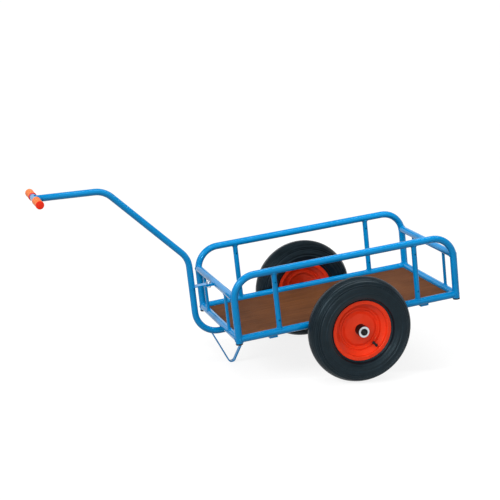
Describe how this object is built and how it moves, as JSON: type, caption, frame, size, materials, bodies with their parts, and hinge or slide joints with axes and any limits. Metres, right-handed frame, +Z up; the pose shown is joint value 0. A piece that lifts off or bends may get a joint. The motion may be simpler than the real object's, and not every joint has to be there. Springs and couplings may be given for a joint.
{
  "type": "hand cart",
  "caption": "Two-wheeled hand cart: welded tube frame with hooped sides, board deck, cranked drawbar with a crossbar handle, V-shaped stand and air-filled tyres.",
  "frame": {"origin": "on the floor, under the middle of the overall length and width", "axes": "+X forward to the handle, +Y to the cart's left, +Z up, parked on its wheels and stand"},
  "size_m": [1.6106, 0.7212, 0.6844],
  "materials": {
    "frame_blue": "gloss powder coat",
    "rim_red": "gloss paint",
    "hub_black": "gloss paint",
    "tyre": "moulded rubber",
    "valve_rubber": "moulded rubber",
    "deck_board": "film-faced plywood",
    "grip_orange": "soft moulded plastic",
    "black_plastic": "moulded plastic",
    "zinc_steel": "zinc plated"
  },
  "bodies": {
    "chassis": {"axle": "zinc_steel", "axle_cap_left": "black_plastic", "axle_cap_right": "black_plastic", "axle_collar_left": "zinc_steel", "axle_collar_right": "zinc_steel", "axle_plate_left": "frame_blue", "axle_plate_right": "frame_blue", "cross_member_front": "frame_blue", "cross_member_rear": "frame_blue", "deck": "deck_board", "drawbar": "frame_blue", "end_rail_front": "frame_blue", "end_rail_rear": "frame_blue", "grip_left": "grip_orange", "grip_right": "grip_orange", "handle_crossbar": "frame_blue", "panel_bar_front_left": "frame_blue", "panel_bar_front_right": "frame_blue", "panel_bar_rear_left": "frame_blue", "panel_bar_rear_right": "frame_blue", "panel_rail_front": "frame_blue", "panel_rail_rear": "frame_blue", "post_cap_front_left": "black_plastic", "post_cap_front_right": "black_plastic", "post_cap_rear_left": "black_plastic", "post_cap_rear_right": "black_plastic", "side_bar_front_left": "frame_blue", "side_bar_front_right": "frame_blue", "side_bar_rear_left": "frame_blue", "side_bar_rear_right": "frame_blue", "side_hoop_left": "frame_blue", "side_hoop_right": "frame_blue", "side_rail_left": "frame_blue", "side_rail_right": "frame_blue", "stand": "frame_blue", "tie_lug": "frame_blue", "tie_strap": "frame_blue"},
    "wheel_left": {"hub_left": "hub_black", "rim_left": "rim_red", "tyre_left": "tyre", "valve_left": "valve_rubber"},
    "wheel_right": {"hub_right": "hub_black", "rim_right": "rim_red", "tyre_right": "tyre", "valve_right": "valve_rubber"}
  },
  "joints": [
    {"name": "wheel_left_spin", "type": "hinge", "parent": "chassis", "child": "wheel_left", "pos_m": [-0.36745, 0.3112, 0.2], "axis": [0, 1, 0], "continuous": true},
    {"name": "wheel_right_spin", "type": "hinge", "parent": "chassis", "child": "wheel_right", "pos_m": [-0.36745, -0.3112, 0.2], "axis": [0, 1, 0], "continuous": true}
  ]
}
